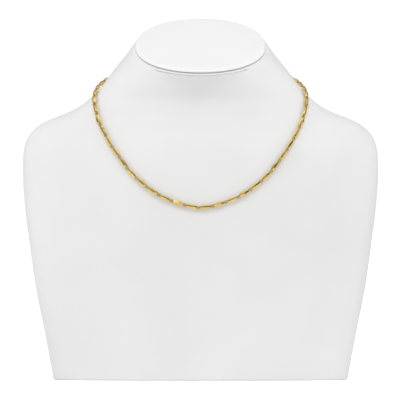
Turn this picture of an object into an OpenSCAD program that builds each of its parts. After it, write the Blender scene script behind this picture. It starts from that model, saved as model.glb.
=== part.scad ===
/* [Bust] */
// Width over the shoulders
bust_width = 230.6; // [222:0.2:240]
// Sides round the bust
bust_sides = 60; // [48:4:72]
// Rings up the bust
bust_rings = 28; // [22:1:34]

/* [Neck cap] */
// Thickness of the cap
cap_thickness = 2.2; // [1.6:0.1:3]
// How far the cap's rim lies inside the edge of the neck
cap_inset = 1.0; // [0.4:0.1:2]
// Gap between the cap and the neck
cap_gap = 0.3; // [0.2:0.05:0.6]

/* [Chain] */
// Number of bars
bar_count = 49; // [47:1:51]
// Width of a bar at its middle
bar_width = 2.9; // [2.4:0.1:3.2]
// Thickness of a bar at its middle
bar_thickness = 2.5; // [2:0.1:2.8]
// Width of the flat facet along a bar's front and back
bar_facet = 1; // [0.4:0.1:1.2]
// Share of the middle's width that is left at a bar's ends
bar_tip = 0.74; // [0.6:0.02:0.8]
// How far a bar may lie rolled to either side, in degrees
bar_roll = 9; // [0:1:12]
// Gap between the bodies of two neighbouring bars
bar_gap = 2.7; // [2.66:0.02:2.86]
// Distance round the neck of the first bar to the right of the front middle
first_bar = 3.2; // [1:0.1:8]
// Gap between the chain and the bust
chain_gap = 0.3; // [0.2:0.05:0.5]

/* [Links] */
// Centreline radius of the eyes
eye_radius = 0.64; // [0.62:0.01:0.66]
// Centreline radius of the links' round ends
link_radius = 0.84; // [0.76:0.02:0.88]
// Wire radius of the eyes and links
wire_radius = 0.2; // [0.17:0.01:0.2]
// Distance of an eye's middle beyond the end of its bar
eye_reach = 0.42; // [0.4:0.01:0.44]

// Half the length of the end link, at its centreline
end_half = 1.5; // [1.4:0.1:1.7]
// Centreline radius of the end link's round ends
end_radius = 0.8; // [0.76:0.02:0.86]

/* [Clasp] */
// Length of the loop between the two joints that the clasp and the end link close
clasp_span = 12.6; // [12:0.1:14]
// Half the width of the clasp's loop, at its centreline
clasp_half_width = 2.1; // [1.9:0.1:2.4]
// Radius of the clasp's wire at its nose
clasp_nose = 0.4; // [0.3:0.05:0.45]
// Radius of the clasp's wire at its tail
clasp_tail = 0.8; // [0.7:0.05:0.9]

/* [Hidden] */
gold = "goldenrod";
white = "whitesmoke";

// Sections of the bust from its base to the top of its neck
// level: height of the section's middle, middle: how far back that lies
// tilt: degrees that the section leans forward, half: half its width
// front, back: its depth to each side of the middle
// power: 2 is an ellipse, more is squarer
LEVEL = 0;
MIDDLE = 1;
TILT = 2;
HALF = 3;
FRONT = 4;
BACK = 5;
POWER = 6;
BUST = [
  [0, -8, 0, 95.5, 56, 54, 2.8],
  [27, -8, 0, 100.5, 52, 57.5, 2.8],
  [60, -8, 0, 107, 47.5, 62, 2.8],
  [90, -7.5, 0, 111.3, 43.5, 64.5, 2.8],
  [118, -7, 0, 114.4, 39.6, 65, 2.6],
  [140, -6, 0, 115.3, 37, 63, 2.3],
  [153, -5, 1, 113.8, 35.5, 61, 2.05],
  [161, -4, 2, 109.3, 34.5, 60.3, 1.88],
  [167.5, -3.5, 3, 100.8, 33.8, 60, 1.8],
  [172, -3.5, 4, 88.9, 33, 59.8, 1.85],
  [178, -3.5, 6, 77.4, 32.3, 59.5, 1.95],
  [187, -4, 10, 66.7, 32, 59.5, 2],
  [198, -4.5, 15.5, 57.6, 35, 58.5, 2.03],
  [207, -4.5, 20, 49.3, 38.8, 54, 2.08],
  [215.1, -4.5, 23.5, 43.3, 43.5, 46.7, 2.12]
];

// Route of the chain over the bust
// turn: degrees round from the front middle, rise: level of the bust that it crosses there
// The first and last rows mirror their neighbours, so that the curve is level at both ends
RISE = 1;
ROUTE = [
  [-20, 114.5],
  [0, 111.5],
  [20, 114.5],
  [36, 120.5],
  [50, 132.5],
  [60, 149],
  [68, 164.5],
  [75, 175],
  [82, 182.5],
  [90, 187],
  [100, 189],
  [118, 190.5],
  [148, 192.5],
  [180, 193],
  [212, 192.5]
];

// Profile of a bar
// along: share of its half length, swell: share of its middle's width and thickness
taper = 1 - bar_tip;
BAR = [
  [-1, bar_tip],
  [-0.8, 1 - 0.4 * taper],
  [-0.5, 1 - 0.06 * taper],
  [0, 1],
  [0.5, 1 - 0.06 * taper],
  [0.8, 1 - 0.4 * taper],
  [1, bar_tip]
];

// Profile of the cap's rim
// up: share of its thickness, inset: how far its edge lies in
CAP_RIM = [
  [0, 0.35],
  [0.18, 0],
  [0.6, 0],
  [0.88, 0.4],
  [1, 1.1]
];

wide = bust_width / 2 / max([for (row = BUST) row[HALF]]);
neck_top = BUST[len(BUST) - 1];
lay = bar_thickness / 2 + chain_gap;
route_step = 2;
probe = 0.1;
bend_probe = 4;
lift_span = 9;
ring_sides = 16;
golden_angle = 137.5;
// Shares of the bust's rings and of its height that lie below the shoulders
body_rings = 0.4;
body_height = 0.64;
clasp_stations = 24;
clasp_sides = 8;
clasp_neck = 1.2;
hook_gap = 0.15;

// Row of a table at a key between its rows, on a smooth curve through them
function row_before(table, key, i = 0) =
  i >= len(table) - 2 || key < table[i + 1][0] ? i : row_before(table, key, i + 1);
function slope(table, i) =
  let (a = table[max(i - 1, 0)], b = table[min(i + 1, len(table) - 1)]) (b - a) / (b[0] - a[0]);
function at(table, key) =
  let (
    i = row_before(table, key),
    step = table[i + 1][0] - table[i][0],
    t = (key - table[i][0]) / step
  )
  table[i] * (2 * t ^ 3 - 3 * t ^ 2 + 1)
  + table[i + 1] * (3 * t ^ 2 - 2 * t ^ 3)
  + slope(table, i) * step * (t ^ 3 - 2 * t ^ 2 + t)
  + slope(table, i + 1) * step * (t ^ 3 - t ^ 2);

function unit(v) = v / norm(v);

// Point of a section of the bust, at a turn from the front, that lies so far inside the section's outline
function on_section(row, turn, inset = 0) =
  let (
    depth = cos(turn) > 0 ? row[FRONT] : row[BACK],
    across = pow(abs(sin(turn)) / (row[HALF] * wide - inset), row[POWER]),
    deep = pow(abs(cos(turn)) / (depth - inset), row[POWER])
  )
  pow(across + deep, -1 / row[POWER]) * [sin(turn), -cos(turn)];

// Point of the bust's surface, at a turn from the front and a level
function skin(turn, level) =
  let (row = at(BUST, level), p = on_section(row, turn))
  [p.x, row[MIDDLE] + p.y * cos(row[TILT]), level + p.y * sin(row[TILT])];
function outward(turn, level) =
  unit(cross(
    skin(turn + probe, level) - skin(turn - probe, level),
    skin(turn, level + probe) - skin(turn, level - probe)
  ));

// The chain's centreline, by the turn and then by the distance from the front middle
function rise(turn) = at(ROUTE, abs(turn))[RISE];
function under(turn) = skin(turn, rise(turn));
function facing_at(turn) = outward(turn, rise(turn));
// How far the bust bulges above a straight bar there, which the chain is lifted by
function bulge(turn) =
  let (a = under(turn - bend_probe), b = under(turn + bend_probe))
  max(0, (under(turn) - (a + b) / 2) * facing_at(turn)) * (lift_span / norm(b - a)) ^ 2;
function over(turn) = under(turn) + (lay + bulge(turn)) * facing_at(turn);
turns = [for (turn = [0 : route_step : 180]) turn];
reach = [
  for (i = 0, s = 0; i < len(turns); s = s + norm(over(turns[i]) - over(turns[i] + route_step)), i = i + 1)
    [s, turns[i]]
];
loop_length = 2 * reach[len(reach) - 1][0];
pitch = (loop_length - clasp_span) / bar_count;
bar_half = (pitch - bar_gap) / 2;
eye_at = bar_half + eye_reach;
link_half = pitch / 2 - eye_at;
bars_left = ceil(bar_count / 2);
function wrapped(s) = s > loop_length / 2 ? s - loop_length : s;
function turn_at(s) = sign(wrapped(s)) * lookup(abs(wrapped(s)), reach);
function place(s) = over(turn_at(s));
function facing(s) = facing_at(turn_at(s));

// Places along the chain: bar k lies between the joints k and k + 1
function joint_at(k) = first_bar + (k - 0.5) * pitch;
first_joint = joint_at(1 - bars_left);
last_joint = joint_at(bar_count - bars_left + 1);
function roll_of(k) = bar_roll * sin(k * golden_angle);

// The closing stretch at the back of the neck, measured from its middle towards the left joint
closing_from = place(last_joint);
closing_to = place(first_joint + loop_length);
closing_half = norm(closing_to - closing_from) / 2;
clasp_eye = link_half - closing_half;
hooked_at = closing_half - (link_half - eye_radius) - 2 * end_half;

echo(loop_length = loop_length, pitch = pitch, bar_length = 2 * bar_half);

// Puts its children at the middle of a and b, with X from a to b and Z as near out as can be
module between(a, b, out) {
  x = unit(b - a);
  y = unit(cross(out, x));
  z = cross(x, y);
  m = (a + b) / 2;
  multmatrix([
    [x.x, y.x, z.x, m.x],
    [x.y, y.y, z.y, m.y],
    [x.z, y.z, z.z, m.z],
    [0, 0, 0, 1]
  ]) children();
}

// Two triangles between the points i and i + 1 of the rings j and k, of n points each
function patch(n, j, k, i) =
  let (next = (i + 1) % n)
  [
    [j * n + i, k * n + i, k * n + next],
    [j * n + i, k * n + next, j * n + next]
  ];

// Closed solid through rings of points, from the first ring to the last
module loft(rings) {
  n = len(rings[0]);
  last = len(rings) - 1;
  polyhedron(
    points = [for (ring = rings) each ring],
    faces = [
      [for (i = [0 : n - 1]) i],
      for (j = [0 : last - 1]) for (i = [0 : n - 1]) each patch(n, j, j + 1, i),
      [for (i = [n - 1 : -1 : 0]) last * n + i]
    ]
  );
}

// Solid through rings of points whose last ring meets the first
module loop_loft(rings) {
  n = len(rings[0]);
  polyhedron(
    points = [for (ring = rings) each ring],
    faces = [
      for (j = [0 : len(rings) - 1]) for (i = [0 : n - 1]) each patch(n, j, (j + 1) % len(rings), i)
    ]
  );
}

// Ring of wire round the Z axis
module ring(radius, wire) {
  rotate_extrude($fn = 2 * ring_sides) translate([radius, 0]) circle(wire, $fn = ring_sides);
}

// Oval link of wire in the XY plane, its length along X
module link(half, radius, wire) {
  straight = half - radius;
  for (side = [0, 180])
    rotate([0, 0, side]) {
      translate([straight, 0, 0])
        rotate([0, 0, -90])
          rotate_extrude(angle = 180, $fn = 2 * ring_sides)
            translate([radius, 0]) circle(wire, $fn = ring_sides);
      translate([-straight, radius, 0])
        rotate([0, 90, 0]) cylinder(h = 2 * straight, r = wire, $fn = ring_sides);
    }
}

// Eye soldered to the end of a bar or the clasp, upright to the bust
module eye(x) {
  translate([x, 0, 0]) rotate([90, 0, 0]) ring(eye_radius, wire_radius);
}

module bar() {
  rings = [
    for (row = BAR)
      let (w = row[1] * bar_width / 2, f = row[1] * bar_facet / 2, t = row[1] * bar_thickness / 2)
      [for (p = [[w, 0], [f, t], [-f, t], [-w, 0], [-f, -t], [f, -t]]) [row[0] * bar_half, p.x, p.y]]
  ];
  loft(rings);
  eye(eye_at);
  eye(-eye_at);
}

// Link of the chain at joint k, turned midway between the two bars that it joins
module link_at(k) {
  before = place(joint_at(k - 1));
  here = place(joint_at(k));
  after = place(joint_at(k + 1));
  along = unit(here - before) + unit(after - here);
  between(here - along, here + along, facing(joint_at(k))) link(link_half, link_radius, wire_radius);
}

// Bars from k = first to last, each with the link at its right-hand end
module bars(first, last) {
  for (k = [first : last]) {
    between(place(joint_at(k)), place(joint_at(k + 1)), facing(joint_at(k + 0.5)))
      rotate([roll_of(k), 0, 0]) bar();
    link_at(k + 1);
  }
}

module neck_bust() {
  color(white)
    loft([
      for (i = [0 : bust_rings])
        let (level = level_of(i / bust_rings))
        [for (j = [0 : bust_sides - 1]) skin(j * 360 / bust_sides, level)]
    ]);
}

// Level of a ring, a share of the way up, with the rings closer together over the shoulders
function level_of(share) =
  neck_top[LEVEL] * (
    share < body_rings
      ? share * body_height / body_rings
      : body_height + (share - body_rings) * (1 - body_height) / (1 - body_rings)
  );

module neck_cap() {
  color(white)
    translate([0, neck_top[MIDDLE], neck_top[LEVEL]])
      rotate([neck_top[TILT], 0, 0])
        loft([
          for (row = CAP_RIM)
            [
              for (j = [0 : bust_sides - 1])
                let (p = on_section(neck_top, j * 360 / bust_sides, cap_inset + row[1]))
                [p.x, p.y, cap_gap + row[0] * cap_thickness]
            ]
        ]);
}

module chain_left() {
  color(gold) {
    bars(1 - bars_left, 0);
    link_at(1 - bars_left);
  }
}

module chain_right() {
  color(gold) bars(1, bar_count - bars_left);
}

// Puts its children midway between the chain's two end joints, with X towards the left one
module at_closing() {
  between(closing_from, closing_to, facing(last_joint + clasp_span / 2)) children();
}

module end_link() {
  color(gold)
    at_closing()
      translate([hooked_at + end_half, 0, 0])
        rotate([90, 0, 0]) link(end_half, end_radius, wire_radius);
}

// The clasp's loop of thick wire, which thins towards the nose at its +X end
module clasp() {
  tail = clasp_eye + clasp_neck;
  nose = hooked_at + wire_radius + hook_gap + clasp_nose;
  half = (nose - tail) / 2;
  color(gold)
    at_closing() {
      loop_loft([
        for (j = [0 : clasp_stations - 1])
          let (
            turn = j * 360 / clasp_stations,
            centre = [tail + half + half * cos(turn), clasp_half_width * sin(turn), 0],
            aside = unit([clasp_half_width * cos(turn), half * sin(turn), 0]),
            wire = clasp_nose + (clasp_tail - clasp_nose) * (1 - cos(turn)) / 2
          )
          [
            for (i = [0 : clasp_sides - 1])
              let (a = (i + 0.5) * 360 / clasp_sides)
              centre + wire * (cos(a) * aside - [0, 0, sin(a)])
          ]
      ]);
      eye(clasp_eye);
    }
}

neck_bust();
neck_cap();
chain_left();
chain_right();
end_link();
clasp();
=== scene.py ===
import math

import bmesh
import bpy
import numpy as np
from mathutils import Matrix, Vector


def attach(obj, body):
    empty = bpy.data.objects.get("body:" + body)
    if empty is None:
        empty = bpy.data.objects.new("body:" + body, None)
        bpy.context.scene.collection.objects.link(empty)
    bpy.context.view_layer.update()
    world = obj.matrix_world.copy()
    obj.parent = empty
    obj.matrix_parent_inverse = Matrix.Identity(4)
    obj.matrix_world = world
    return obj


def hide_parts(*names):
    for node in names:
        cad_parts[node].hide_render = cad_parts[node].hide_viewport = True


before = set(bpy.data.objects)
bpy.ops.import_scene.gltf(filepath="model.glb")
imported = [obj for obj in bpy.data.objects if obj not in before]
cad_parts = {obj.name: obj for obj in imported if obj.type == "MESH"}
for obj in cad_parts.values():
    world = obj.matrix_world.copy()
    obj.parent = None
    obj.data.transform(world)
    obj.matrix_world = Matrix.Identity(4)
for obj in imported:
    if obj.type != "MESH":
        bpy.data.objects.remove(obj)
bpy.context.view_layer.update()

# All lengths are in metres, unless a name or comment says something else

# Camera: level, straight in front, far enough away for the photograph's flat perspective
VIEW_WIDTH = 0.260
CAMERA_DISTANCE = 8.0
CAMERA_LEVEL = 0.1167
CAMERA_ASIDE = -0.0003
SENSOR_MM = 36

# Bars: their section in the middle, what is left of it at the tips, the power by which it narrows
# towards them, how far a bar is rolled, and how far at most it is twisted from its middle to each tip
BAR_HALF = 0.00317
BAR_WIDTH = 0.0029
BAR_THICKNESS = 0.0025
BAR_FACET = 0.001
BAR_CHAMFER = 0.00009
BAR_STATIONS = 17
BAR_TIP = 0.74
BAR_SWELL = 4
BAR_LEAN = math.radians(5)
BAR_TWIST = math.radians(8)

# The twist changes from bar to bar as a sine that goes on by this many radians with each solid
TWIST_WAVE = 2.4

# Nose that closes a bar beyond each tip: its length, and rows of (share of it, width against the tip's)
BAR_NOSE = 0.00012
NOSE_ROWS = [(0.6, 0.92), (1, 0.76)]

# Wire of the eyes and links, measured to its middle. The reach is from a bar's tip to its eye's middle
WIRE_RADIUS = 0.00025
WIRE_SIDES = 10
RING_STEPS = 26
EYE_RADIUS = 0.00064
EYE_REACH = 0.00042
LINK_HALF = 0.00093
LINK_RADIUS = 0.00084
END_LINK_HALF = 0.0015
END_LINK_RADIUS = 0.0008

# Clasp: half the width of its loop, the radius of its wire at the nose and at the tail, and the way
# from the middle of its eye to the middle of that thick wire
CLASP_HALF_WIDTH = 0.0021
CLASP_NOSE = 0.0004
CLASP_TAIL = 0.0008
CLASP_NECK = 0.00104
CLASP_STEPS = 56

# Every part of the chain faces away from the first point, and the bars' faces lean away from the second
HEART = Vector((0, 0, 0.1))
THROAT = Vector((0, 0, 0.25))

# Reading the CAD: points nearer than this are one
WELD = 0.000002

# Triangles of a flat bottom: their least cosine from straight down and from the widest one of them,
# and how far they may be off its plane
BOTTOM_LEAN = 0.85
BOTTOM_FLATNESS = 0.9995
BOTTOM_SLACK = 0.0001

# Points of a ring that are repeated at both ends of its curve, which then meets itself smoothly
RING_LAP = 6

# Steps from each of the CAD's points to the next round a ring, and from each of its rings to the next
FINER_ROUND = 4
FINER_UP = 4

# Radii of the bust's rounded edges
BASE_EDGE = 0.0012
NECK_EDGE = 0.0009
EDGE_STEPS = 5

# Cap: its rim as (share of the thickness, inset), then its face as (share of the face's width, crown)
CAP_RIM = [
    (0, 0.0026),
    (0.03, 0.0014),
    (0.11, 0.0008),
    (0.22, 0.0004),
    (0.35, 0.0001),
    (0.5, 0),
    (0.64, 0.00018),
    (0.77, 0.00045),
    (0.87, 0.00082),
    (0.94, 0.00128),
    (0.98, 0.0018),
]
CAP_FACE = [(0.97, 0.0001), (0.88, 0.00025), (0.7, 0.0004), (0.45, 0.0005), (0.15, 0.00055)]

# Golds: name, main colour, warmer colour, and roughness where smooth and where dull
GOLDS = [
    ("bar_gold", (0.98, 0.74, 0.27, 1), (0.93, 0.66, 0.2, 1), 0.06, 0.16),
    # Wire gold: partly the wire's duller gold, partly painted shade that darkens the links at the joints
    # between the bars
    ("wire_gold_and_painted_shade", (0.72, 0.5, 0.07, 1), (0.6, 0.4, 0.04, 1), 0.2, 0.35),
]

# Place of each gold in that table, and so in the materials of a gold piece
BAR_FINISH = 0
# Gold of all wire, darker partly for a duller wire and partly as painted shade at the joints between the
# bars
WIRE_GOLD_AND_PAINTED_SHADE = 1

# Gold's patterns in cells to the metre, where its warmer colour starts and is full, and its marks
WARMTH_CELLS = 260
WARMTH_BAND = (0.35, 0.7)
POLISH_CELLS = 900
MARK_CELLS = 1400
MARK_DEPTH = 0.000012
MARK_STRENGTH = 0.6

# Leatherettes: name, darkest and lightest grey, and mean roughness
BUST_COVER = ("bust_leatherette", 0.84, 0.88, 0.5)
# The cap's cover is lighter than the bust's, partly a whiter leatherette and partly painted light on its
# upward-facing face
CAP_WHITE_AND_PAINTED_LIGHT = ("cap_leatherette_and_painted_light", 0.94, 0.97, 0.42)

# Leatherette's patterns in cells to the metre, where its tone starts and ends to change, and its relief
TONE_CELLS = 14
TONE_BAND = (0.35, 0.65)
GLOSS_CELLS = 160
GLOSS_SPREAD = 0.05
PEBBLE_CELLS = 1100
PEBBLE_DEPTH = 0.00003
WAVE_CELLS = 45
WAVE_DEPTH = 0.00004
RELIEF_STRENGTH = 0.5
COVER_SPECULAR = 0.35
COVER_SHEEN = 0.08
COVER_SHEEN_ROUGHNESS = 0.5

# Surroundings: brightness to the camera, and as light on the object
BACKDROP = 1.05
AMBIENT = 0.57

# Studio as polished metal mirrors it: brightness by height, from straight below to straight above
MIRRORED = [(0, 0.12), (0.42, 0.12), (0.56, 0.2), (0.66, 0.31), (0.8, 0.34), (0.93, 0.5), (1, 1.4)]

# Floor: its width, greys, cells to the metre, finish and the glow that makes it white to the camera
FLOOR_WIDTH = 80.0
FLOOR_DARKEST = 0.9
FLOOR_LIGHTEST = 0.93
FLOOR_CELLS = 3
FLOOR_ROUGHNESS = 0.9
FLOOR_SPECULAR = 0.1
FLOOR_GLOW = 0.95

# Middle of the bust, which the lights and the card face
CENTRE = Vector((0, 0, 0.12))

# Softboxes: name, place, width and watts
SOFTBOXES = [
    ("key", (0, -0.85, 1.6), 0.5, 6.5),
    ("left_softbox", (-1.3, -0.5, 0.5), 0.9, 4),
    ("right_softbox", (1.3, -0.5, 0.5), 0.9, 4),
    ("left_high_softbox", (-1.2, -0.3, 1.1), 0.7, 1.5),
    ("right_high_softbox", (1.2, -0.3, 1.1), 0.7, 0.8),
]

# Dark card that the right-hand bars mirror as dark streaks
CARD_PLACE = (1.5, -1.8, 0.6)
CARD_WIDTH = 2.3
CARD_HEIGHT = 1.8
CARD_GLOW = 0.01

DOWN = Vector((0, 0, -1))


def add_object(name, data):
    """A new object in the scene."""
    obj = bpy.data.objects.new(name, data)
    bpy.context.scene.collection.objects.link(obj)
    return obj


def grey(level):
    """Colour of an even grey."""
    return (level, level, level, 1)


def shader_nodes(name):
    """A new material with its node tree, its Principled shader and its object coordinates."""
    material = bpy.data.materials.new(name)
    material.use_nodes = True
    tree = material.node_tree
    shader = tree.nodes["Principled BSDF"]
    place = tree.nodes.new("ShaderNodeTexCoord").outputs["Object"]
    return material, tree, shader, place


def noise(tree, place, cells, detail):
    """Factor of a noise texture with so many cells to the metre."""
    node = tree.nodes.new("ShaderNodeTexNoise")
    node.inputs["Scale"].default_value = cells
    node.inputs["Detail"].default_value = detail
    tree.links.new(place, node.inputs["Vector"])
    return node.outputs["Fac"]


def ramp(tree, factor, low, high, start=0.0, stop=1.0):
    """Colour that goes from low to high as the factor goes from start to stop."""
    node = tree.nodes.new("ShaderNodeValToRGB")
    node.color_ramp.elements[0].position = start
    node.color_ramp.elements[0].color = low
    node.color_ramp.elements[1].position = stop
    node.color_ramp.elements[1].color = high
    tree.links.new(factor, node.inputs["Fac"])
    return node.outputs["Color"]


def spread(tree, factor, low, high):
    """Number that goes from low to high with the factor."""
    node = tree.nodes.new("ShaderNodeMapRange")
    node.inputs["To Min"].default_value = low
    node.inputs["To Max"].default_value = high
    tree.links.new(factor, node.inputs["Value"])
    return node.outputs["Result"]


def bump(tree, shader, height, depth, strength):
    """Bump of that depth, in metres, over the one that the shader already has."""
    node = tree.nodes.new("ShaderNodeBump")
    node.inputs["Strength"].default_value = strength
    node.inputs["Distance"].default_value = depth
    tree.links.new(height, node.inputs["Height"])
    before = shader.inputs["Normal"].links
    if before:
        tree.links.new(before[0].from_socket, node.inputs["Normal"])
    tree.links.new(node.outputs["Normal"], shader.inputs["Normal"])


def leatherette(name, darkest, lightest, roughness):
    """White pebbled leatherette, faintly uneven in tone, gloss and surface."""
    material, tree, shader, place = shader_nodes(name)
    pebbles = tree.nodes.new("ShaderNodeTexVoronoi")
    pebbles.feature = "SMOOTH_F1"
    pebbles.inputs["Scale"].default_value = PEBBLE_CELLS
    tree.links.new(place, pebbles.inputs["Vector"])
    tone = noise(tree, place, TONE_CELLS, detail=4)
    colour = ramp(tree, tone, grey(darkest), grey(lightest), *TONE_BAND)
    tree.links.new(colour, shader.inputs["Base Color"])
    gloss = noise(tree, place, GLOSS_CELLS, detail=2)
    uneven = spread(tree, gloss, roughness - GLOSS_SPREAD, roughness + GLOSS_SPREAD)
    tree.links.new(uneven, shader.inputs["Roughness"])
    bump(tree, shader, pebbles.outputs["Distance"], PEBBLE_DEPTH, RELIEF_STRENGTH)
    waves = noise(tree, place, WAVE_CELLS, detail=3)
    bump(tree, shader, waves, WAVE_DEPTH, RELIEF_STRENGTH)
    shader.inputs["Specular IOR Level"].default_value = COVER_SPECULAR
    shader.inputs["Sheen Weight"].default_value = COVER_SHEEN
    shader.inputs["Sheen Roughness"].default_value = COVER_SHEEN_ROUGHNESS
    return material


def yellow_gold(name, main, warmer, smooth, dull):
    """Yellow gold with a faint warmth here and there, uneven gloss and fine polishing marks."""
    material, tree, shader, place = shader_nodes(name)
    warmth = noise(tree, place, WARMTH_CELLS, detail=2)
    tree.links.new(ramp(tree, warmth, main, warmer, *WARMTH_BAND), shader.inputs["Base Color"])
    gloss = noise(tree, place, POLISH_CELLS, detail=2)
    tree.links.new(spread(tree, gloss, smooth, dull), shader.inputs["Roughness"])
    marks = noise(tree, place, MARK_CELLS, detail=2)
    bump(tree, shader, marks, MARK_DEPTH, MARK_STRENGTH)
    shader.inputs["Metallic"].default_value = 1
    return material


class Shape:
    """Points, faces with their finishes and sharp edges gathered from several lofts."""

    def __init__(self):
        self.points = []
        self.faces = []
        self.finishes = []
        self.sharp = set()

    def loft(self, rings, closed=False, crisp=False, finish=0):
        """Skin through rings of points, in one of the piece's materials.

        A closed loft's last ring meets its first, and a crisp one keeps its corners.
        """
        first = len(self.points)
        count = len(rings[0])
        for ring in rings:
            self.points.extend(Vector(point) for point in ring)
        rows = len(rings) if closed else len(rings) - 1
        for j in range(rows):
            low = first + j * count
            high = first + (j + 1) % len(rings) * count
            for i in range(count):
                after = (i + 1) % count
                self.faces.append((low + i, low + after, high + after, high + i))
                if crisp:
                    self.sharp.add(frozenset((low + i, high + i)))
        if not closed:
            last = first + (len(rings) - 1) * count
            self.faces.append(tuple(first + i for i in reversed(range(count))))
            self.faces.append(tuple(last + i for i in range(count)))
        self.finishes += [finish] * (len(self.faces) - len(self.finishes))

    def mesh(self, name):
        """The gathered shape as a smooth-shaded mesh."""
        mesh = bpy.data.meshes.new(name)
        mesh.from_pydata(self.points, [], self.faces)
        for face, finish in zip(mesh.polygons, self.finishes):
            face.use_smooth = True
            face.material_index = finish
        mesh.validate()
        for edge in mesh.edges:
            edge.use_edge_sharp = frozenset(edge.vertices) in self.sharp
        outward_faces(mesh)
        return mesh


def outward_faces(mesh):
    """Turns the faces of closed skins so that they look outwards."""
    bm = bmesh.new()
    bm.from_mesh(mesh)
    bmesh.ops.recalc_face_normals(bm, faces=bm.faces[:])
    bm.to_mesh(mesh)
    bm.free()


def add_piece(name, mesh, materials, node):
    """Puts a finished mesh in the scene in place of a CAD node."""
    piece = add_object(name, mesh)
    for material in materials:
        mesh.materials.append(material)
    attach(piece, "root")
    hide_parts(node)


def welded(node):
    """A CAD node's mesh with its repeated points made one."""
    bm = bmesh.new()
    bm.from_mesh(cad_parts[node].data)
    bmesh.ops.remove_doubles(bm, verts=bm.verts[:], dist=WELD)
    return bm


def loose_solids(node):
    """Points of each loose solid of a CAD node, as one array each."""
    bm = welded(node)
    seen = set()
    solids = []
    for start in bm.verts:
        if start in seen:
            continue
        seen.add(start)
        group = [start]
        for vert in group:
            for edge in vert.link_edges:
                other = edge.other_vert(vert)
                if other not in seen:
                    seen.add(other)
                    group.append(other)
        solids.append(np.array([vert.co[:] for vert in group]))
    bm.free()
    return solids


def principal(points):
    """Unit axes of some points, from the longest to the shortest."""
    return np.linalg.svd(points - points.mean(0), full_matrices=False)[2]


def box_middle(points, axes):
    """Middle of the box round some points, along the given axes."""
    along = points @ axes.T
    return (along.min(0) + along.max(0)) / 2 @ axes


def full_length(points, axis):
    """Length of some points along an axis."""
    along = points @ axis
    return along.max() - along.min()


def placement(middle, x, y):
    """Matrix with its X along x, its Y near y or against it, and its Z away from the bust."""
    x = Vector(x).normalized()
    z = x.cross(Vector(y)).normalized()
    middle = Vector(middle)
    if z.dot(middle - HEART) < 0:
        z = -z
    y = z.cross(x)
    return Matrix.Translation(middle) @ Matrix((x, y, z)).transposed().to_4x4()


def link_placement(points):
    """Where a link lies: X along it and Z across its ring."""
    axes = principal(points)
    return placement(box_middle(points, axes), axes[0], axes[1])


def bar_placement(points):
    """Where a bar lies: X from eye to eye and Y across the eyes' rings."""
    axes = principal(points)
    middle = box_middle(points, axes)
    along = (points - middle) @ axes[0]
    ends = [points[along * side > BAR_HALF + WIRE_RADIUS] for side in (-1, 1)]
    across = principal(np.vstack([end - box_middle(end, axes) for end in ends]))[2]
    a, b = (box_middle(end, axes) for end in ends)
    return placement(middle, b - a, across)


def circle_points(radius, count, start):
    """Points round a circle in the XY plane, as pairs."""
    turns = [start + 2 * math.pi * i / count for i in range(count)]
    return [(radius * math.cos(turn), radius * math.sin(turn)) for turn in turns]


def wire_loop(shape, place, path):
    """Wire of round section along a closed path in the XY plane of a placement.

    The path holds (point, outward, radius of the wire) for each station.
    """
    rings = []
    for point, outward, radius in path:
        ring = []
        for u, v in circle_points(radius, WIRE_SIDES, math.pi / WIRE_SIDES):
            ring.append(place @ (point + outward * u + Vector((0, 0, v))))
        rings.append(ring)
    # All wire takes the darker gold, which holds painted shade for the joints between the bars as well
    # as the wire's duller colour
    shape.loft(rings, closed=True, finish=WIRE_GOLD_AND_PAINTED_SHADE)


def oval_path(half, radius):
    """Stations of an oval: straight sides with round ends, and a round ring where half is the radius."""
    straight = half - radius
    path = []
    for i in range(RING_STEPS):
        turn = 2 * math.pi * (i + 0.5) / RING_STEPS
        outward = Vector((math.cos(turn), math.sin(turn), 0))
        centre = Vector((math.copysign(straight, outward.x), 0, 0))
        path.append((centre + outward * radius, outward, WIRE_RADIUS))
    return path


def bar_section():
    """Corners of a bar's six-sided section, each cut off by a narrow chamfer."""
    side = BAR_WIDTH / 2
    face = BAR_THICKNESS / 2
    edge = BAR_FACET / 2
    corners = [
        Vector((side, 0)),
        Vector((edge, face)),
        Vector((-edge, face)),
        Vector((-side, 0)),
        Vector((-edge, -face)),
        Vector((edge, -face)),
    ]
    section = []
    for i, corner in enumerate(corners):
        for other in (corners[i - 1], corners[(i + 1) % len(corners)]):
            section.append(corner + (other - corner).normalized() * BAR_CHAMFER)
    return section


def bar_body(shape, place, lean, twist):
    """A bar: six facets that narrow and turn a little towards both ends, all rolled by its lean."""
    section = bar_section()
    stations = []
    for i in range(BAR_STATIONS):
        share = 2 * i / (BAR_STATIONS - 1) - 1
        stations.append((share * BAR_HALF, 1 - (1 - BAR_TIP) * abs(share) ** BAR_SWELL, share))
    nose = [(BAR_HALF + BAR_NOSE * share, BAR_TIP * width) for share, width in NOSE_ROWS]
    stations += [(x, swell, 1) for x, swell in nose]
    stations = [(-x, swell, -1) for x, swell in reversed(nose)] + stations
    rings = []
    for x, swell, share in stations:
        turn = Matrix.Rotation(lean + twist * share, 2)
        rings.append([place @ Vector((x, *(turn @ corner * swell))) for corner in section])
    shape.loft(rings, crisp=True, finish=BAR_FINISH)


def eye(shape, place, x):
    """Ring of wire at the end of a bar, upright to the bust."""
    upright = place @ Matrix.Translation((x, 0, 0)) @ Matrix.Rotation(math.pi / 2, 4, "X")
    wire_loop(shape, upright, oval_path(EYE_RADIUS, EYE_RADIUS))


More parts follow.
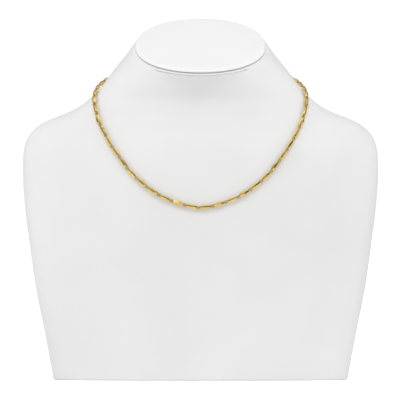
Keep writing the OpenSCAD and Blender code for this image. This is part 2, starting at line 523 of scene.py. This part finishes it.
def chain(node):
    """All the bars and links of one half of the chain, each where the CAD's own lies."""
    shape = Shape()
    for order, points in enumerate(loose_solids(node)):
        if full_length(points, principal(points)[0]) < 2 * BAR_HALF:
            wire_loop(shape, link_placement(points), oval_path(LINK_HALF, LINK_RADIUS))
            continue
        place = bar_placement(points)
        lean = math.copysign(BAR_LEAN, place.col[1].xyz.dot(THROAT - place.translation))
        bar_body(shape, place, lean, BAR_TWIST * math.sin(order * TWIST_WAVE))
        for side in (1, -1):
            eye(shape, place, side * (BAR_HALF + EYE_REACH))
    return shape.mesh(node + "_detail")


def end_link():
    """The link that the clasp holds."""
    (points,) = loose_solids("end_link")
    shape = Shape()
    wire_loop(shape, link_placement(points), oval_path(END_LINK_HALF, END_LINK_RADIUS))
    return shape.mesh("end_link_detail")


def clasp():
    """Loop of wire that is thick at its tail and thin at its nose, with an eye at the tail."""
    (points,) = loose_solids("clasp")
    axes = principal(points)
    middle = box_middle(points, axes)
    towards = box_middle(loose_solids("end_link")[0], np.eye(3)) - middle
    x = axes[0] if axes[0] @ towards > 0 else -axes[0]
    length = full_length(points, axes[0])
    eye_half = EYE_RADIUS + WIRE_RADIUS
    eye_at = eye_half - length / 2
    loop = points[(points - middle) @ x > eye_at + eye_half]
    place = placement(middle, x, principal(loop)[1])
    nose = length / 2 - CLASP_NOSE
    tail = eye_at + CLASP_NECK
    half = (nose - tail) / 2
    path = []
    for i in range(CLASP_STEPS):
        turn = 2 * math.pi * i / CLASP_STEPS
        point = Vector((tail + half + half * math.cos(turn), CLASP_HALF_WIDTH * math.sin(turn), 0))
        outward = Vector((CLASP_HALF_WIDTH * math.cos(turn), half * math.sin(turn), 0)).normalized()
        radius = CLASP_NOSE + (CLASP_TAIL - CLASP_NOSE) * (1 - math.cos(turn)) / 2
        path.append((point, outward, radius))
    shape = Shape()
    wire_loop(shape, place, path)
    eye(shape, place, eye_at)
    return shape.mesh("clasp_detail")


def merge_bottom(bm):
    """Makes one face of a flat bottom, which may be tilted."""
    facing = [face for face in bm.faces if face.normal.dot(DOWN) > BOTTOM_LEAN]
    widest = max(facing, key=lambda face: face.calc_area())
    normal = widest.normal.copy()
    level = widest.calc_center_median().dot(normal)
    flat = []
    for face in facing:
        off = abs(face.calc_center_median().dot(normal) - level)
        if face.normal.dot(normal) > BOTTOM_FLATNESS and off < BOTTOM_SLACK:
            flat.append(face)
    return bmesh.ops.dissolve_faces(bm, faces=flat)["region"][0]


def joined_length(ring, other):
    """Length of all the lines between the points of two rings."""
    return sum((a.co - b.co).length for a, b in zip(ring, other))


def rings_of(node):
    """Points of a CAD node as rings, from its lower end to its upper one."""
    bm = welded(node)
    ring = list(merge_bottom(bm).verts)
    rings = [ring]
    seen = set(ring)
    while True:
        above = [{edge.other_vert(vert) for edge in vert.link_edges} - seen for vert in ring]
        if not all(above):
            break
        # Two neighbours in a ring share one point above them, at the end of the diagonal between them.
        # All the way round it stands over the same one of the two, the one with the shorter lines
        after = [(above[i] & above[(i + 1) % len(above)]).pop() for i in range(len(above))]
        before = after[-1:] + after[:-1]
        ring = min(before, after, key=lambda upper: joined_length(ring, upper))
        rings.append(ring)
        seen.update(ring)
    points = np.array([[vert.co[:] for vert in ring] for ring in rings])
    bm.free()
    return points


def spline(points, knots, places):
    """Points at some places on the smoothest curve that passes through points at their knots."""
    step = np.diff(knots)
    count = len(points)
    rise = np.diff(points, axis=0) / step[:, None, None]
    system = np.eye(count)
    bend = np.zeros_like(points)
    for i in range(1, count - 1):
        system[i, i - 1 : i + 2] = step[i - 1], 2 * (step[i - 1] + step[i]), step[i]
        bend[i] = 6 * (rise[i] - rise[i - 1])
    bend = np.linalg.solve(system, bend.reshape(count, -1)).reshape(points.shape)
    i = np.clip(np.searchsorted(knots, places, side="right") - 1, 0, count - 2)
    h = step[i][:, None, None]
    t = ((places - knots[i]) / step[i])[:, None, None]
    curve = (1 - t) * points[i] + t * points[i + 1]
    return curve + h * h / 6 * (((1 - t) ** 3 - 1 + t) * bend[i] + (t**3 - t) * bend[i + 1])


def finer_round(rings):
    """More points round each ring, on a smooth closed curve through its own."""
    count = rings.shape[1]
    around = np.pad(rings.swapaxes(0, 1), ((RING_LAP, RING_LAP), (0, 0), (0, 0)), mode="wrap")
    places = np.arange(count * FINER_ROUND) / FINER_ROUND
    return spline(around, np.arange(-RING_LAP, count + RING_LAP), places).swapaxes(0, 1)


def finer_up(rings):
    """More rings between the given ones, on smooth curves from the lowest to the highest."""
    steps = np.linalg.norm(np.diff(rings, axis=0), axis=2).mean(axis=1)
    knots = np.r_[0, np.cumsum(steps)]
    shares = np.arange((len(rings) - 1) * FINER_UP + 1) / FINER_UP
    return spline(rings, knots, np.interp(shares, np.arange(len(rings)), knots))


def unit_rows(vectors):
    """Each vector at length one."""
    return vectors / np.linalg.norm(vectors, axis=-1, keepdims=True)


def ring_plane(ring):
    """Normal of a flat ring and each of its points' way inwards in the ring's plane."""
    along = np.roll(ring, -1, axis=0) - np.roll(ring, 1, axis=0)
    normal = unit_rows(np.cross(ring, along).sum(axis=0))
    inward = unit_rows(np.cross(normal, along))
    return normal, inward


def rounded_end(ring, next_ring, radius):
    """Rings that turn the edge at a flat end, from the wall to the end, where it stays flat."""
    _, inward = ring_plane(ring)
    wall = unit_rows(next_ring - ring)
    rings = []
    for turn in np.radians(np.linspace(0, 90, EDGE_STEPS)):
        rings.append(ring + radius * ((1 - math.cos(turn)) * inward + (1 - math.sin(turn)) * wall))
    return [*rings, ring + 2 * radius * inward]


def bust():
    """The bust, with its edges rounded as the leatherette turns over them."""
    rings = finer_up(finer_round(rings_of("neck_bust")))
    base = rounded_end(rings[0], rings[1], BASE_EDGE)
    top = rounded_end(rings[-1], rings[-2], NECK_EDGE)
    shape = Shape()
    shape.loft([*reversed(base), *rings[1:-1], *top])
    return shape.mesh("bust_skin")


def cap():
    """The cap, with a round rim and a face that is crowned a little."""
    rings = rings_of("neck_cap")
    normal, _ = ring_plane(rings[0])
    normal = math.copysign(1, normal[2]) * normal
    thickness = (rings[-1][0] - rings[0][0]) @ normal
    outline = finer_round(rings[1:2])[0]
    outline = outline - (outline[:1] - rings[0][:1]) @ normal * normal
    _, inward = ring_plane(outline)
    layers = [outline + inset * inward + share * thickness * normal for share, inset in CAP_RIM]
    face = layers[-1]
    middle = face.mean(axis=0)
    layers += [middle + share * (face - middle) + crown * normal for share, crown in CAP_FACE]
    shape = Shape()
    shape.loft(layers)
    return shape.mesh("cap_skin")


def look_at_centre(obj):
    """Turns an object's -Z to the middle of the bust."""
    obj.rotation_euler = (CENTRE - obj.location).to_track_quat("-Z", "Y").to_euler()


def add_camera():
    """The camera at the photograph's angle."""
    data = bpy.data.cameras.new("camera")
    data.sensor_width = SENSOR_MM
    data.lens = SENSOR_MM * CAMERA_DISTANCE / VIEW_WIDTH
    camera = add_object("camera", data)
    camera.location = (CAMERA_ASIDE, -CAMERA_DISTANCE, CAMERA_LEVEL)
    camera.rotation_euler = (math.pi / 2, 0, 0)
    bpy.context.scene.camera = camera


def add_softbox(name, place, width, watts):
    """A square area light that polished metal doesn't mirror."""
    data = bpy.data.lights.new(name, "AREA")
    data.shape = "RECTANGLE"
    data.size = width
    data.size_y = width
    data.energy = watts
    light = add_object(name, data)
    light.location = place
    light.visible_glossy = False
    look_at_centre(light)


def rectangle(name, width, height):
    """A flat rectangular mesh round the origin."""
    x, y = width / 2, height / 2
    mesh = bpy.data.meshes.new(name)
    mesh.from_pydata([(-x, -y, 0), (x, -y, 0), (x, y, 0), (-x, y, 0)], [], [(0, 1, 2, 3)])
    return mesh


def add_dark_card():
    """A dark card of the studio that only polished metal mirrors."""
    mesh = rectangle("dark_card", CARD_WIDTH, CARD_HEIGHT)
    material = bpy.data.materials.new("dark_card")
    material.use_nodes = True
    tree = material.node_tree
    tree.nodes.clear()
    glow = tree.nodes.new("ShaderNodeEmission")
    glow.inputs["Strength"].default_value = CARD_GLOW
    out = tree.nodes.new("ShaderNodeOutputMaterial")
    tree.links.new(glow.outputs["Emission"], out.inputs["Surface"])
    mesh.materials.append(material)
    card = add_object("dark_card", mesh)
    card.location = CARD_PLACE
    look_at_centre(card)
    card.visible_camera = False
    card.visible_diffuse = False
    card.visible_shadow = False
    card.visible_transmission = False


def background(tree, strength):
    """A background node, white until its colour is linked."""
    node = tree.nodes.new("ShaderNodeBackground")
    node.inputs["Color"].default_value = grey(1)
    node.inputs["Strength"].default_value = strength
    return node


def mirrored_studio(tree):
    """Background whose brightness follows the height of the direction."""
    direction = tree.nodes.new("ShaderNodeTexCoord")
    height = tree.nodes.new("ShaderNodeSeparateXYZ")
    tree.links.new(direction.outputs["Generated"], height.inputs["Vector"])
    share = tree.nodes.new("ShaderNodeMapRange")
    share.inputs["From Min"].default_value = -1
    tree.links.new(height.outputs["Z"], share.inputs["Value"])
    bands = tree.nodes.new("ShaderNodeValToRGB")
    stops = bands.color_ramp.elements
    while len(stops) < len(MIRRORED):
        stops.new(1)
    for stop, (place, level) in zip(stops, MIRRORED):
        stop.position = place
        stop.color = grey(level)
    tree.links.new(share.outputs["Result"], bands.inputs["Fac"])
    studio = background(tree, 1)
    tree.links.new(bands.outputs["Color"], studio.inputs["Color"])
    return studio


def first_mirrored(tree, path):
    """1 for what gold mirrors to the eye, and 0 for the light that it throws on matt surfaces."""
    node = tree.nodes.new("ShaderNodeMath")
    node.operation = "SUBTRACT"
    node.use_clamp = True
    tree.links.new(path.outputs["Is Glossy Ray"], node.inputs[0])
    tree.links.new(path.outputs["Diffuse Depth"], node.inputs[1])
    return node.outputs["Value"]


def mix_shaders(tree, factor, first, second):
    """Shader that goes from the first to the second with the factor."""
    node = tree.nodes.new("ShaderNodeMixShader")
    tree.links.new(factor, node.inputs["Fac"])
    tree.links.new(first, node.inputs[1])
    tree.links.new(second, node.inputs[2])
    return node.outputs["Shader"]


def add_world():
    """White to the camera, softer as light on the object, and banded in what the gold mirrors."""
    world = bpy.data.worlds.new("studio")
    world.use_nodes = True
    tree = world.node_tree
    tree.nodes.clear()
    seen = background(tree, BACKDROP).outputs["Background"]
    cast = background(tree, AMBIENT).outputs["Background"]
    mirrored = mirrored_studio(tree).outputs["Background"]
    path = tree.nodes.new("ShaderNodeLightPath")
    around = mix_shaders(tree, first_mirrored(tree, path), cast, mirrored)
    surroundings = mix_shaders(tree, path.outputs["Is Camera Ray"], around, seen)
    out = tree.nodes.new("ShaderNodeOutputWorld")
    tree.links.new(surroundings, out.inputs["Surface"])
    bpy.context.scene.world = world


def add_floor():
    """A plain white floor."""
    mesh = rectangle("floor", FLOOR_WIDTH, FLOOR_WIDTH)
    material, tree, shader, place = shader_nodes("floor")
    tone = noise(tree, place, FLOOR_CELLS, detail=3)
    colour = ramp(tree, tone, grey(FLOOR_DARKEST), grey(FLOOR_LIGHTEST))
    tree.links.new(colour, shader.inputs["Base Color"])
    shader.inputs["Roughness"].default_value = FLOOR_ROUGHNESS
    shader.inputs["Specular IOR Level"].default_value = FLOOR_SPECULAR
    shader.inputs["Emission Color"].default_value = grey(1)
    path = tree.nodes.new("ShaderNodeLightPath")
    glow = spread(tree, path.outputs["Is Camera Ray"], 0, FLOOR_GLOW)
    tree.links.new(glow, shader.inputs["Emission Strength"])
    mesh.materials.append(material)
    add_object("floor", mesh)


golds = [yellow_gold(*row) for row in GOLDS]
add_piece("chain_left_detail", chain("chain_left"), golds, "chain_left")
add_piece("chain_right_detail", chain("chain_right"), golds, "chain_right")
add_piece("end_link_detail", end_link(), golds, "end_link")
add_piece("clasp_detail", clasp(), golds, "clasp")
add_piece("bust_skin", bust(), [leatherette(*BUST_COVER)], "neck_bust")
# The cap's lighter cover holds painted light on its upward-facing face as well as its whiter leatherette
add_piece("cap_skin", cap(), [leatherette(*CAP_WHITE_AND_PAINTED_LIGHT)], "neck_cap")

bpy.context.scene.view_settings.view_transform = "Standard"
add_camera()
add_world()
add_floor()
for softbox in SOFTBOXES:
    add_softbox(*softbox)
add_dark_card()
